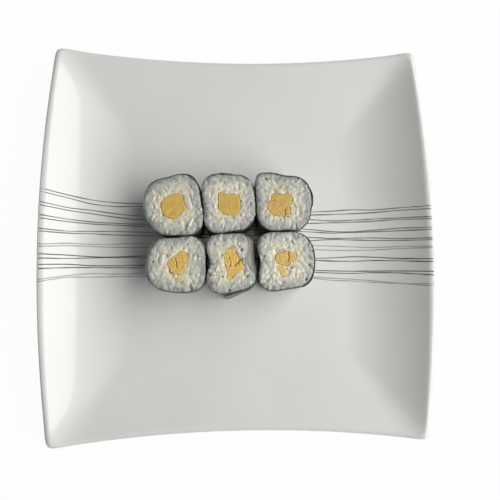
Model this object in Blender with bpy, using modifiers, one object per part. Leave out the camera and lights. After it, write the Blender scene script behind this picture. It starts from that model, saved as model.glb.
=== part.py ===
"""Six slices of egg maki, standing cut face up in two rows on a square glazed plate.

Metres, +Z up. The origin is the middle of the foot's underside, and +X runs along the rows.
"""

import math

import bmesh
import bpy

MM = 0.001

# Plate: a square dish with slightly bulging left and right rims and slightly hollow near and far rims.
SIDE_MIDDLE = 105.5
SIDE_CORNER = 99.2
END_MIDDLE = 100.5
END_CORNER = 107.0
CORNER_SHARPNESS = 50
FLAT_REACH = 58.0
FLAT_TOP = 6.0
SIDE_RISE = 15.0
END_RISE = 8.0
CREASE = 4
WALL = 4.0
RIM_WALL = 3.0
RIM_ROLL = 2.4
FOOT_OUTSIDE = 0.63
FOOT_INSIDE = 0.575
FOOT_LEAN = 0.015
FOOT_JOIN = 1.4
RECESS_DEPTH = 1.8
PLATE_STEPS = 10
RINGS_ABOVE = (0.5, 0.6, 0.68, 0.75, 0.82, 0.88, 0.94)
RINGS_ROUND_RIM = (90, 45, 0, -45, -90)
RINGS_BELOW = (0.92, 0.84, 0.76, 0.68)

# Rolls.
STAND = FLAT_TOP + 0.3
NORI = 0.4
GAP = 0.3
LAP_RISE = NORI + 0.2
HANG_AT_TOP = 0.3
RISE_ARC = 14.0
OUTLINE_STEPS = 64
EGG_ROUNDING = 0.8
SPARE = 5.0

PLATE_COLOUR = (0.80, 0.81, 0.80)
NORI_COLOUR = (0.035, 0.045, 0.035)
RICE_COLOUR = (0.76, 0.76, 0.70)
EGG_COLOUR = (0.80, 0.50, 0.11)

# Each roll: middle, mean radius and top height, then the waves of its outline as (waves per turn,
# height, where a crest lies in degrees), how far its foot stands from its top, where its sheet of
# nori overlaps and over how many degrees, and how far the loose end hangs out at the foot.
ROLLS = (
    dict(middle=(-33.6, 16.6), radius=15.85, top=30.0,
         waves=((2, 0.6, -70), (3, 0.8, -54), (4, 0.9, -37), (6, 0.2, 12)),
         foot=(0.0, 0.0), seam=60, lap=22, hang=0.6),
    dict(middle=(-5.8, 18.1), radius=15.3, top=29.5,
         waves=((2, 0.9, -85), (3, 0.6, 5), (4, 1.2, -41), (6, 0.2, -2)),
         foot=(0.0, 0.0), seam=100, lap=18, hang=0.0),
    dict(middle=(22.5, 18.3), radius=15.5, top=30.3,
         waves=((2, 0.5, -52), (3, 0.6, 7), (4, 1.2, 43), (6, 0.2, 4)),
         foot=(0.2, 0.0), seam=12, lap=20, hang=0.0),
    dict(middle=(-31.9, -13.6), radius=15.4, top=29.7,
         waves=((2, 0.4, 9), (3, 0.5, 54), (4, 1.0, 45), (5, 0.2, -20)),
         foot=(-0.2, 0.0), seam=200, lap=20, hang=0.0),
    dict(middle=(-4.8, -13.3), radius=14.5, top=30.6,
         waves=((2, 2.1, -89), (3, 0.6, -12), (4, 1.6, -40), (5, 0.3, -16)),
         foot=(1.6, 0.0), seam=-40, lap=60, hang=2.4),
    dict(middle=(23.3, -12.0), radius=15.7, top=30.0,
         waves=((2, 0.4, 76), (3, 0.8, 2), (4, 1.3, -42), (5, 0.3, 3)),
         foot=(1.8, 0.0), seam=-38, lap=18, hang=0.0),
)

# Corners of each egg stick's cut end from the roll's middle, anticlockwise.
EGGS = {
    "roll_1_egg": (0, ((4.8, 2.5), (4.5, 4.8), (1.8, 6.4), (-5.4, 3.6), (-6.9, 0.8), (-5.8, -5.0),
                       (-1.5, -6.9), (1.7, -6.5), (3.6, -3.7), (6.4, -2.4))),
    "roll_2_egg": (1, ((6.0, -0.9), (5.8, 2.7), (4.0, 4.3), (0.4, 3.9), (-1.6, 4.8), (-5.2, 5.3),
                       (-5.4, -3.0), (-2.2, -6.3), (0.5, -6.3), (2.6, -7.4), (6.0, -4.2))),
    "roll_3_egg": (2, ((4.6, 1.6), (3.6, 3.7), (1.5, 4.7), (-0.6, 3.7), (-5.7, 4.4), (-6.6, 0.6),
                       (-9.0, -2.1), (-7.4, -5.2), (-4.6, -7.2), (2.9, -7.8), (3.3, -3.1))),
    "roll_4_egg": (3, ((5.4, 2.8), (5.2, 5.2), (3.0, 6.7), (0.7, 6.0), (-5.3, 1.4), (-4.8, -0.6),
                       (-3.5, -3.2), (-2.0, -4.9), (2.3, -5.2), (4.8, -0.7))),
    "roll_4_egg_bit": (3, ((2.8, -7.0), (0.6, -6.6), (-0.2, -8.2), (1.2, -9.2), (2.6, -8.8))),
    "roll_5_egg": (4, ((7.1, -2.2), (4.9, 1.9), (3.1, 4.5), (1.6, 7.6), (-2.3, 7.7), (-3.4, 4.2),
                       (-3.2, 0.5), (-1.8, -4.4), (-2.1, -8.0), (0.0, -8.2), (2.2, -5.4), (5.6, -3.5))),
    "roll_6_egg": (5, ((5.1, 4.6), (-2.6, 4.4), (-5.5, 3.3), (-5.3, 0.1), (-4.5, -1.4), (-1.7, -2.3),
                       (-0.2, -2.6), (2.4, -1.0), (4.4, -1.0), (5.5, 2.1))),
    "roll_6_egg_lower": (5, ((-5.0, -2.3), (-3.8, -5.5), (-1.8, -8.1), (0.5, -7.8), (0.8, -5.8),
                             (0.3, -3.7), (-2.8, -3.0))),
}


def shade(obj, name, colour, roughness, smooth=True):
    """Gives the object its own glossy or matt material."""
    material = bpy.data.materials.new(name)
    material.use_nodes = True
    shader = material.node_tree.nodes["Principled BSDF"]
    shader.inputs["Base Color"].default_value = (*colour, 1.0)
    shader.inputs["Roughness"].default_value = roughness
    shader.inputs["Metallic"].default_value = 0.0
    obj.data.materials.append(material)
    if smooth:
        obj.data.shade_smooth()


def add_mesh(name, shape, collection):
    """Makes an object from a bmesh measured in millimetres."""
    bmesh.ops.scale(shape, vec=(MM, MM, MM), verts=shape.verts)
    bmesh.ops.recalc_face_normals(shape, faces=shape.faces)
    mesh = bpy.data.meshes.new(name)
    shape.to_mesh(mesh)
    shape.free()
    obj = bpy.data.objects.new(name, mesh)
    collection.objects.link(obj)
    return obj


def loft(loops):
    """Joins closed loops of equal length, and closes the first and the last with a flat face."""
    shape = bmesh.new()
    rings = [[shape.verts.new(point) for point in loop] for loop in loops]
    count = len(rings[0])
    for lower, upper in zip(rings, rings[1:]):
        for i in range(count):
            j = (i + 1) % count
            shape.faces.new((lower[i], lower[j], upper[j], upper[i]))
    shape.faces.new(list(reversed(rings[0])))
    shape.faces.new(rings[-1])
    return shape


def bow(middle, corner, along):
    """Half size of a rim that changes from its middle to its corners."""
    return middle + (corner - middle) * min(along, 1.0) ** 2


def rim_point(dx, dy):
    """The point of the rim in a direction from the plate's middle."""
    reach = END_MIDDLE
    for _ in range(12):
        side = bow(SIDE_MIDDLE, SIDE_CORNER, abs(dy * reach) / END_CORNER)
        end = bow(END_MIDDLE, END_CORNER, abs(dx * reach) / SIDE_CORNER)
        power = abs(dx / side) ** CORNER_SHARPNESS + abs(dy / end) ** CORNER_SHARPNESS
        reach = 0.5 * (reach + power ** (-1.0 / CORNER_SHARPNESS))
    return dx * reach, dy * reach


def rim_loop():
    """Rim points anticlockwise, closer together towards the corners."""
    points = []
    for quarter in range(4):
        turn = quarter * math.pi / 2
        for step in range(2 * PLATE_STEPS):
            across = math.sin((step / PLATE_STEPS - 1.0) * math.pi / 2)
            dx = math.cos(turn) - across * math.sin(turn)
            dy = math.sin(turn) + across * math.cos(turn)
            points.append(rim_point(dx, dy))
    return points


def lift(distance, rise, reach):
    """Height gained at a distance from the middle along one axis."""
    return rise * (max(distance - FLAT_REACH, 0.0) / (reach - FLAT_REACH)) ** 2


def plate_top(x, y):
    """Height of the glazed surface, whose four slopes meet in soft creases."""
    across = lift(abs(x), SIDE_RISE, SIDE_MIDDLE)
    along = lift(abs(y), END_RISE, END_MIDDLE)
    return FLAT_TOP + (across ** CREASE + along ** CREASE) ** (1.0 / CREASE)


def plate_loop(rim, scale, inset, drop):
    """One ring of the plate: the rim shrunk, at a depth under the glazed surface."""
    loop = []
    for x, y in rim:
        size = scale * (1.0 - inset / math.hypot(x, y))
        loop.append((x * size, y * size, plate_top(x * size, y * size) - drop))
    return loop


def flat_loop(rim, scale, height):
    return [(x * scale, y * scale, height) for x, y in rim]


def build_plate(collection):
    rim = rim_loop()
    loops = [plate_loop(rim, scale, 0.0, 0.0) for scale in RINGS_ABOVE]
    for turn in RINGS_ROUND_RIM:
        lean = math.radians(turn)
        inset = RIM_ROLL * (1.0 - math.cos(lean))
        drop = RIM_WALL * 0.5 * (1.0 - math.sin(lean))
        loops.append(plate_loop(rim, 1.0, inset, drop))
    loops += [plate_loop(rim, scale, 0.0, WALL) for scale in RINGS_BELOW]
    loops.append(flat_loop(rim, FOOT_OUTSIDE + FOOT_LEAN, FOOT_JOIN))
    loops.append(flat_loop(rim, FOOT_OUTSIDE, 0.0))
    loops.append(flat_loop(rim, FOOT_INSIDE, 0.0))
    loops.append(flat_loop(rim, FOOT_INSIDE - FOOT_LEAN, RECESS_DEPTH))
    plate = add_mesh("plate", loft(list(reversed(loops))), collection)
    shade(plate, "plate", PLATE_COLOUR, 0.12)


def radius_at(roll, turn):
    """Outside radius of a roll in a direction in radians."""
    waves = (height * math.cos(count * (turn - math.radians(crest))) for count, height, crest in roll["waves"])
    return roll["radius"] + sum(waves)


def outline(roll, inset, base):
    """The roll's outline moved in, at its top or at its foot."""
    height = STAND if base else roll["top"]
    shift = roll["foot"] if base else (0.0, 0.0)
    points = []
    for step in range(OUTLINE_STEPS):
        turn = 2 * math.pi * step / OUTLINE_STEPS
        radius = radius_at(roll, turn) - inset
        x = roll["middle"][0] + shift[0] + radius * math.cos(turn)
        y = roll["middle"][1] + shift[1] + radius * math.sin(turn)
        points.append((x, y, height))
    return points


def build_nori(name, roll, collection):
    """The sheet round one slice, as a band whose outer end laps over its inner end."""
    arc = 360.0 + roll["lap"]
    count = round(OUTLINE_STEPS * arc / 360.0)
    shape = bmesh.new()
    columns = []
    for step in range(count + 1):
        gone = arc * step / count
        turn = math.radians(roll["seam"] - gone)
        rise = LAP_RISE * min(max((gone - 360.0 + RISE_ARC) / RISE_ARC, 0.0), 1.0)
        loose = max((gone - 360.0) / roll["lap"], 0.0) ** 2
        column = []
        for base in (True, False):
            radius = radius_at(roll, turn) + rise + loose * roll["hang"] * (1.0 if base else HANG_AT_TOP)
            shift = roll["foot"] if base else (0.0, 0.0)
            height = STAND if base else roll["top"]
            for depth in (0.0, NORI):
                x = roll["middle"][0] + shift[0] + (radius - depth) * math.cos(turn)
                y = roll["middle"][1] + shift[1] + (radius - depth) * math.sin(turn)
                column.append(shape.verts.new((x, y, height)))
        columns.append(column)
    for first, second in zip(columns, columns[1:]):
        for a, b in ((0, 2), (2, 3), (3, 1), (1, 0)):
            shape.faces.new((first[a], first[b], second[b], second[a]))
    for outside_low, inside_low, outside_high, inside_high in (columns[0], columns[-1]):
        shape.faces.new((outside_low, inside_low, inside_high, outside_high))
    nori = add_mesh(name, shape, collection)
    shade(nori, name, NORI_COLOUR, 0.45)


def moved_out(corners, spread):
    """The corners of an outline whose every side is moved out by the spread."""
    moved = []
    count = len(corners)
    for i, (x, y) in enumerate(corners):
        sides = []
        for start, end in ((corners[i - 1], (x, y)), ((x, y), corners[(i + 1) % count])):
            length = math.dist(start, end)
            sides.append(((end[1] - start[1]) / length, (start[0] - end[0]) / length))
        (ax, ay), (bx, by) = sides
        reach = spread / (1.0 + ax * bx + ay * by)
        moved.append((x + (ax + bx) * reach, y + (ay + by) * reach))
    return moved


def egg_prism(roll, corners, spread, over):
    """A stick of egg from foot to top, with its sides moved out by the spread."""
    loops = []
    for base in (True, False):
        shift = roll["foot"] if base else (0.0, 0.0)
        height = STAND - over if base else roll["top"] + over
        x = roll["middle"][0] + shift[0]
        y = roll["middle"][1] + shift[1]
        loops.append([(x + across, y + along, height) for across, along in moved_out(corners, spread)])
    return loft(loops)


def round_edges(obj, width):
    bevel = obj.modifiers.new("rounded", "BEVEL")
    bevel.width = width * MM
    bevel.segments = 2
    bevel.limit_method = "ANGLE"
    bevel.angle_limit = math.radians(40)


def build_roll(index, roll, collection, cutters):
    name = f"roll_{index + 1}"
    build_nori(f"{name}_nori", roll, collection)
    loops = [outline(roll, NORI + GAP, True), outline(roll, NORI + GAP, False)]
    rice = add_mesh(f"{name}_rice", loft(loops), collection)
    for egg_name, (owner, corners) in EGGS.items():
        if owner != index:
            continue
        egg = add_mesh(egg_name, egg_prism(roll, corners, 0.0, 0.0), collection)
        round_edges(egg, EGG_ROUNDING)
        shade(egg, egg_name, EGG_COLOUR, 0.4)
        cutter = add_mesh(f"{egg_name}_space", egg_prism(roll, corners, GAP, SPARE), cutters)
        cutter.hide_render = True
        cutter.display_type = "WIRE"
        cut = rice.modifiers.new(egg_name, "BOOLEAN")
        cut.operation = "DIFFERENCE"
        cut.solver = "EXACT"
        cut.object = cutter
    shade(rice, f"{name}_rice", RICE_COLOUR, 0.5, smooth=False)


def main():
    for obj in list(bpy.data.objects):
        bpy.data.objects.remove(obj)
    collection = bpy.data.collections.new("maki_plate")
    cutters = bpy.data.collections.new("cutters")
    cutters.hide_render = True
    for group in (collection, cutters):
        bpy.context.scene.collection.children.link(group)
    build_plate(collection)
    for index, roll in enumerate(ROLLS):
        build_roll(index, roll, collection, cutters)


main()
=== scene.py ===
"""The looks of a plate of egg maki: glazed plate, printed lines, and six slices of nori, rice and egg.

Lengths in the tables are millimetres from the middle of the plate, and turns are degrees.
"""

import math

import bpy
import numpy as np
from mathutils.kdtree import KDTree
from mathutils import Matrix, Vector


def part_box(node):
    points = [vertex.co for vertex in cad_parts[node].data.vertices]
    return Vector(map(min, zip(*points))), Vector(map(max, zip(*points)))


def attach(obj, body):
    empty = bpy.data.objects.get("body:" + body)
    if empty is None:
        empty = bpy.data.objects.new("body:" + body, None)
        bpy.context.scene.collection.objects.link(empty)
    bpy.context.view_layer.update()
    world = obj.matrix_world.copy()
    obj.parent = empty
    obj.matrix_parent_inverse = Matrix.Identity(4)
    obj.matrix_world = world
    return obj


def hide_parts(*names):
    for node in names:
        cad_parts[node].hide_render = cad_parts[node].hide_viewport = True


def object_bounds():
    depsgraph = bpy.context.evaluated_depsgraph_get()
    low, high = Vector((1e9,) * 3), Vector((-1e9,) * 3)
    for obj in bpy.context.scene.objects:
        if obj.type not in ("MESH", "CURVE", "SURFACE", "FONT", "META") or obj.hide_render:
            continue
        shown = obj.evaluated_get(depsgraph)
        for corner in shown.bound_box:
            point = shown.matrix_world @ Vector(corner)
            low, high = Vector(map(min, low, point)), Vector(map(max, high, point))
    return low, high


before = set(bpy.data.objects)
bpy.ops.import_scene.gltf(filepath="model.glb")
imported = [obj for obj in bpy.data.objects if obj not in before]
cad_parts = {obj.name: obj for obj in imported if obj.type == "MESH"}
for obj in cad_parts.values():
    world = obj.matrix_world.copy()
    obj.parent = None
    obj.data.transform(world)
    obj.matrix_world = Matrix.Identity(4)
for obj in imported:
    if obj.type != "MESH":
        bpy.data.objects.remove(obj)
CAD_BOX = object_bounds()

MM = 0.001
BODY = "root"
SEED = 20


def node_height(node):
    """Lowest and highest point of a CAD node, in millimetres."""
    low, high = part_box(node)
    return low.z / MM, high.z / MM


# ---------------------------------------------------------------- sizes

PLATE = dict(
    side_middle=105.5, side_corner=99.2, end_middle=100.5, end_corner=107.0, sharpness=50,
    flat_reach=58.0, flat_top=6.0, side_rise=15.0, end_rise=8.0, crease=4,
    wall=4.0, rim_wall=3.0, rim_roll=2.4, foot_outside=0.63, foot_inside=0.575, recess=1.8,
)

STAND_OFF = 0.05
NORI_WALL = 0.18
NORI_STEPS = 420
NORI_ROWS = 26
NORI_PROUD = 0.1
LAP_RISE = 0.55
RISE_ARC = 14.0
HANG_AT_TOP = 0.3
# How much lighter the nori's top edge is painted, and from which part of its height: painted light on
# its lit top edge.
NORI_TOP_LIGHT = 0.9
NORI_TOP_LIGHT_FROM = 0.88
NORI_RAGGED = 0.16
NORI_WRINKLE = 0.10
NORI_CRINKLE = 0.05

# Where rolls press on each other (gap in mm from PRESS_NEAR to PRESS_FAR), the rice swells out
# over the nori, whose edge stays EDGE_DROP lower.
PRESS_NEAR = 1.2
PRESS_FAR = 4.2
EDGE_DROP = 1.0

# Each roll repeats the CAD's middle, mean radius, outline waves, foot shift and nori lap. A corner is
# an extra bulge (direction, height, half width in degrees), and bare is where the nori has slipped
# down and shows a shoulder of rice (direction, half width in degrees, depth, how far it stands out,
# how far its slope reaches in).
ROLLS = (
    dict(middle=(-33.6, 16.6), radius=15.85, foot=(0.0, 0.0), seam=60, lap=22, hang=0.6,
         waves=((2, 0.6, -70), (3, 0.8, -54), (4, 0.9, -37), (6, 0.2, 12))),
    dict(middle=(-5.8, 18.1), radius=15.3, foot=(0.0, 0.0), seam=100, lap=18, hang=0.0,
         waves=((2, 0.9, -85), (3, 0.6, 5), (4, 1.2, -41), (6, 0.2, -2))),
    dict(middle=(22.5, 18.3), radius=15.5, foot=(0.2, 0.0), seam=12, lap=20, hang=0.0,
         corner=(133.5, 1.5, 10),
         waves=((2, 0.5, -52), (3, 0.6, 7), (4, 1.2, 43), (6, 0.2, 4))),
    dict(middle=(-31.9, -13.6), radius=15.4, foot=(-0.2, 0.0), seam=200, lap=20, hang=0.0,
         waves=((2, 0.4, 9), (3, 0.5, 54), (4, 1.0, 45), (5, 0.2, -20))),
    dict(middle=(-4.8, -13.3), radius=14.5, foot=(1.6, 0.0), seam=-40, lap=60, hang=2.4,
         bare=(14, 56, 9.0, 1.6, 3.6),
         waves=((2, 2.1, -89), (3, 0.6, -12), (4, 1.6, -40), (5, 0.3, -16))),
    dict(middle=(23.3, -12.0), radius=15.7, foot=(1.8, 0.0), seam=-38, lap=18, hang=0.0,
         waves=((2, 0.4, 76), (3, 0.8, 2), (4, 1.3, -42), (5, 0.3, 3))),
)

# Corners of each egg stick's cut end from the roll's middle, anticlockwise, as in the CAD.
EGGS = {
    "roll_1_egg": (0, ((4.8, 2.5), (4.5, 4.8), (1.8, 6.4), (-5.4, 3.6), (-6.9, 0.8), (-5.8, -5.0),
                       (-1.5, -6.9), (1.7, -6.5), (3.6, -3.7), (6.4, -2.4))),
    "roll_2_egg": (1, ((6.0, -0.9), (5.8, 2.7), (4.0, 4.3), (0.4, 3.9), (-1.6, 4.8), (-5.2, 5.3),
                       (-5.4, -3.0), (-2.2, -6.3), (0.5, -6.3), (2.6, -7.4), (6.0, -4.2))),
    "roll_3_egg": (2, ((4.6, 1.6), (3.6, 3.7), (1.5, 4.7), (-0.6, 3.7), (-5.7, 4.4), (-6.6, 0.6),
                       (-9.0, -2.1), (-7.4, -5.2), (-4.6, -7.2), (2.9, -7.8), (3.3, -3.1))),
    "roll_4_egg": (3, ((5.4, 2.8), (5.2, 5.2), (3.0, 6.7), (0.7, 6.0), (-5.3, 1.4), (-4.8, -0.6),
                       (-3.5, -3.2), (-2.0, -4.9), (2.3, -5.2), (4.8, -0.7))),
    "roll_4_egg_bit": (3, ((2.8, -7.0), (0.6, -6.6), (-0.2, -8.2), (1.2, -9.2), (2.6, -8.8))),
    "roll_5_egg": (4, ((7.1, -2.2), (4.9, 1.9), (3.1, 4.5), (1.6, 7.6), (-2.3, 7.7), (-3.4, 4.2),
                       (-3.2, 0.5), (-1.8, -4.4), (-2.1, -8.0), (0.0, -8.2), (2.2, -5.4), (5.6, -3.5))),
    "roll_6_egg": (5, ((5.1, 4.6), (-2.6, 4.4), (-5.5, 3.3), (-5.3, 0.1), (-4.5, -1.4), (-1.7, -2.3),
                       (-0.2, -2.6), (2.4, -1.0), (4.4, -1.0), (5.5, 2.1))),
    "roll_6_egg_lower": (5, ((-5.0, -2.3), (-3.8, -5.5), (-1.8, -8.1), (0.5, -7.8), (0.8, -5.8),
                             (0.3, -3.7), (-2.8, -3.0))),
}

# How bright each egg stick is, how far its cut face breaks into curds, and how pale it is.
EGG_LOOKS = {
    "roll_1_egg": (1.04, 0.05, 0.0), "roll_2_egg": (1.04, 0.15, 0.0), "roll_3_egg": (1.0, 0.3, 0.05),
    "roll_4_egg": (1.14, 0.4, 0.08), "roll_4_egg_bit": (1.0, 0.2, 0.85),
    "roll_5_egg": (1.20, 0.45, 0.08), "roll_6_egg": (1.12, 0.25, 0.10),
    "roll_6_egg_lower": (1.14, 0.2, 0.38),
}
EGG_COLOUR = (0.65, 0.435, 0.113)
EGG_PALE_COLOUR = (0.72, 0.66, 0.30)
# How pale patches and the painted highlight along the cut edge, and the warm tone and painted shade in
# creases and cracks, change the three parts of its colour.
EGG_PALE_AND_HIGHLIGHT = (0.10, 0.22, 0.75)
EGG_CREASE_TONE_AND_SHADE = (0.12, 0.30, 0.50)
EGG_STEPS = 150
EGG_ROUNDING = 0.7
EGG_RIM = 0.3
# Width of the painted highlight along the egg's cut edge.
EDGE_HIGHLIGHT = 0.9
CURD_HEIGHT = 0.3
CRACK_DEPTH = 0.7
BIT_RISE = 0.3
# Cracks across a cut face: from, to, width.
EGG_CRACKS = {
    "roll_5_egg": (((1.7, -0.9), (4.7, 1.6), 0.75), ((-0.6, 3.0), (0.2, -1.5), 0.22)),
    "roll_6_egg": (((1.4, 4.4), (1.5, -0.6), 0.3),),
    "roll_4_egg": (((-0.9, 3.2), (-0.2, -1.0), 0.35),),
    "roll_3_egg": (((-8.0, 0.2), (-4.6, 0.6), 0.3), ((1.2, -4.0), (0.4, -7.4), 0.3)),
}

GRAIN = dict(length=5.2, width=2.7, thick=2.4, around=12, along=10)
GRAIN_SPREAD = (("length", 0.16), ("width", 0.08), ("thick", 0.08))
GRAIN_MARGIN = 1.3
EGG_MARGIN = 0.7

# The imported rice: how deep the merged cap reaches, the step of its skin, how often it is relaxed,
# how deep the creases between grains are, and how much of a grain above the cut is kept.
CAP_DEPTH = 5.0
SKIN = 0.28
SKIN_RELAX = 5
CREASE_DEPTH = 0.34
PACKED_GRAINS = 175
PACKED_SPACING = 1.2
PACKED_KEPT = 0.22
LOOSE_GRAINS = 26
LOOSE_SPACING = 2.6
LOOSE_KEPT = 0.5
SEEN_SHARE = 0.55
RIM_ROUNDING = 1.5
RIM_FALL = 0.45
TUBE_STEPS = 160
SHOULDER_DEPTH = 4.5

# Grains that stand out on each cut face: place from the roll's middle, length, width, turn, tone.
SEEN_GRAINS = (
    ((7.8, 0.3, 7.5, 3.7, -69, "cream"), (4.8, -6.2, 4.8, 2.9, 29, "cream"),
     (8.7, -9.3, 5.7, 4.2, 67, "white"), (-11.7, -0.8, 5.5, 1.8, -75, "white"),
     (14.6, -2.1, 4.2, 3.1, 0, "white")),
    ((7.8, -2.8, 5.5, 2.0, 90, "cream"), (0.1, -8.7, 5.8, 3.2, -25, "white"),
     (-7.2, -1.7, 5.5, 2.1, -70, "cream"), (-4.4, 7.0, 3.6, 2.3, 90, "cream")),
    ((-2.6, 5.4, 6.6, 3.3, -25, "cream"), (-7.3, -8.8, 4.8, 4.0, 0, "white"),
     (9.5, 6.7, 4.2, 2.6, 10, "white"), (-0.9, -10.0, 3.3, 2.4, 80, "white"),
     (3.4, 4.9, 3.7, 1.5, -80, "cream")),
    ((-8.5, 2.2, 7.5, 4.8, 73, "white"), (-1.1, 6.8, 6.4, 2.5, 12, "cream"),
     (-3.5, 3.7, 3.1, 2.5, 20, "cream"), (-5.7, -2.2, 3.5, 2.6, -50, "cream"),
     (10.4, -5.6, 3.3, 2.4, 90, "white"), (11.5, -10.8, 5.7, 4.4, 30, "white"),
     (7.2, 5.9, 3.1, 2.0, -40, "white"), (-0.9, -5.7, 4.0, 2.6, 40, "white"),
     (4.3, -5.7, 3.1, 2.4, 90, "cream")),
    ((4.8, 5.3, 6.5, 3.5, -42, "cream"), (8.2, -0.7, 7.9, 2.6, -82, "cream"),
     (-6.9, -2.5, 5.1, 3.5, 70, "white"), (-11.0, -3.6, 2.8, 2.3, 0, "white"),
     (-6.6, 10.3, 4.6, 3.5, 0, "white"), (-9.8, 14.3, 3.0, 2.2, 20, "white"),
     (4.8, 9.8, 4.0, 2.1, 0, "cream"), (-5.3, -8.0, 3.5, 2.8, 90, "white")),
    ((4.3, 9.9, 3.4, 2.7, -60, "white"), (0.9, 12.4, 4.5, 2.5, 0, "white"),
     (-7.0, 6.3, 5.2, 2.1, 33, "cream"), (-3.6, -10.8, 4.7, 3.8, -20, "cream"),
     (-12.2, -10.5, 3.6, 2.6, 0, "white"), (-8.6, -13.5, 3.2, 2.6, 80, "white"),
     (7.6, -0.4, 3.2, 2.6, 0, "cream"), (-13.0, 1.3, 4.1, 2.4, 90, "cream"),
     (-6.5, -7.1, 3.8, 2.9, 60, "cream")),
)

# Spots in the rice of each roll: place from its middle, radius, kind.
SPOTS = (
    ((-2.3, 4.3, 0.5, "brown"), (4.1, -3.7, 0.5, "olive"), (-12.6, 7.7, 1.0, "grey"),
     (3.1, -14.4, 1.5, "grey"), (13.2, 6.1, 0.8, "dark"), (-7.5, 7.0, 1.4, "olive"),
     (-11.4, -4.1, 1.1, "olive"), (-10.5, -6.8, 1.1, "olive"), (0.4, -8.4, 1.1, "olive"),
     (-8.7, -10.1, 2.4, "grey"), (-8.9, 11.5, 2.4, "grey"), (11.4, -8.2, 1.3, "grey"),
     (0.6, 13.1, 1.5, "grey")),
    ((-2.4, 5.9, 0.9, "olive"), (-2.9, -5.9, 0.7, "olive"), (6.2, 0.7, 0.7, "brown"),
     (-8.2, 14.5, 0.3, "dark"), (1.3, 12.6, 0.3, "grey"), (6.7, -12.2, 1.0, "grey"),
     (10.7, -1.7, 1.9, "grey"), (-9.3, 10.8, 2.1, "grey"), (-3.4, -8.3, 1.0, "olive"),
     (12.6, 9.2, 1.3, "grey"), (-7.5, -12.1, 1.5, "grey")),
    ((-9.0, 12.1, 0.6, "dark"), (11.3, 0.3, 0.5, "grey"), (7.8, 12.3, 0.6, "dark"),
     (-3.7, 11.1, 0.8, "grey"), (-8.0, -0.3, 0.7, "dark"), (-8.4, -5.2, 0.6, "olive"),
     (4.4, 0.8, 0.6, "brown"), (2.9, -3.4, 0.6, "brown"), (1.8, -9.1, 0.8, "grey"),
     (-1.8, -13.3, 0.7, "grey"), (-2.6, 8.1, 1.9, "olive"), (1.4, 6.7, 1.5, "olive"),
     (-1.4, 11.7, 1.8, "grey"), (-3.5, -9.1, 1.3, "olive"), (9.1, -6.4, 1.3, "grey"),
     (10.5, 10.2, 1.8, "grey"), (-12.5, 0.4, 1.3, "grey")),
    ((5.0, 10.3, 0.4, "dark"), (-1.0, 8.8, 0.4, "olive"), (-7.3, 5.3, 0.4, "grey"),
     (3.0, 7.7, 0.6, "olive"), (8.3, 4.8, 0.7, "brown"), (6.3, -4.9, 0.6, "brown"),
     (-5.3, 4.6, 0.6, "brown"), (-12.2, 1.6, 0.7, "dark"), (-3.5, -3.5, 1.3, "brown"),
     (3.7, -6.8, 0.5, "grey"), (4.8, -11.6, 0.4, "grey"), (14.5, -1.7, 0.5, "dark"),
     (-11.2, 9.9, 1.2, "grey"), (-4.8, -9.6, 1.1, "grey"), (-1.3, -12.2, 1.3, "grey"),
     (2.4, -12.9, 1.3, "grey"), (6.5, -11.2, 1.3, "grey"), (12.4, -4.1, 1.3, "grey"),
     (4.3, 13.6, 1.3, "grey"), (10.7, 9.6, 1.1, "grey"), (2.0, -8.8, 1.3, "olive")),
    ((1.5, 8.4, 0.7, "dark"), (5.5, 7.0, 0.9, "brown"), (-4.5, 4.0, 0.8, "brown"),
     (-11.6, 2.4, 0.7, "dark"), (-12.5, -2.0, 0.5, "dark"), (5.7, 2.7, 0.3, "grey"),
     (-10.8, -5.7, 1.2, "brown"), (-0.9, -13.6, 0.8, "dark"), (8.2, -6.3, 0.9, "brown"),
     (-4.3, -6.7, 0.7, "brown"), (-2.9, 11.9, 1.2, "grey"), (-9.7, -9.9, 2.6, "grey"),
     (5.3, 12.1, 1.7, "grey"), (7.3, -4.0, 1.4, "grey")),
    ((-3.1, 4.9, 0.8, "brown"), (-1.3, 5.2, 0.8, "brown"), (0.2, 12.9, 0.6, "grey"),
     (3.8, 8.5, 0.5, "grey"), (-11.2, 2.2, 0.6, "brown"), (-8.3, 7.2, 0.8, "olive"),
     (12.3, -2.3, 0.9, "dark"), (10.4, -9.8, 0.6, "dark"), (-0.6, -11.0, 0.9, "brown"),
     (-9.9, -10.3, 1.4, "olive"), (8.1, 4.6, 1.4, "olive"), (2.5, -3.6, 1.0, "brown"),
     (12.3, 4.8, 1.1, "grey"), (12.2, 1.8, 1.4, "grey"), (5.0, 12.2, 2.0, "grey"),
     (12.5, -3.7, 1.4, "grey"), (-6.1, -14.2, 1.4, "grey")),
)
SPOT_TINTS = {"dark": (0.24, 0.24, 0.21), "brown": (0.52, 0.42, 0.28), "olive": (0.80, 0.80, 0.60),
              "grey": (0.74, 0.76, 0.77)}
SPOT_PITS = {"dark": 0.7, "brown": 0.5, "olive": 0.15, "grey": 0.1}
GRAIN_TINTS = {"white": (0.74, 0.75, 0.71), "cream": (0.78, 0.73, 0.60)}

# Colour of the rice by its distance from the nori: darker towards the nori, partly the dark nori
# showing through the outer grains and partly painted shade at the rounded rim.
RIM_STOPS = (0.0, 0.5, 1.5, 3.0, 5.0, 7.5)
RIM_COLOURS_AND_SHADE = ((0.29, 0.305, 0.29), (0.37, 0.385, 0.365), (0.44, 0.45, 0.425), (0.56, 0.565, 0.53),
               (0.66, 0.65, 0.58), (0.74, 0.72, 0.60))
# Brightness of the rice in each roll.
RICE_TONES = (1.03, 1.08, 1.04, 1.04, 1.07, 1.11)
# Painted shade: colour of the bared shoulder of rice, which lies in shade below the cut face.
SHOULDER_SHADE_COLOUR = (0.30, 0.285, 0.24)

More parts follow.
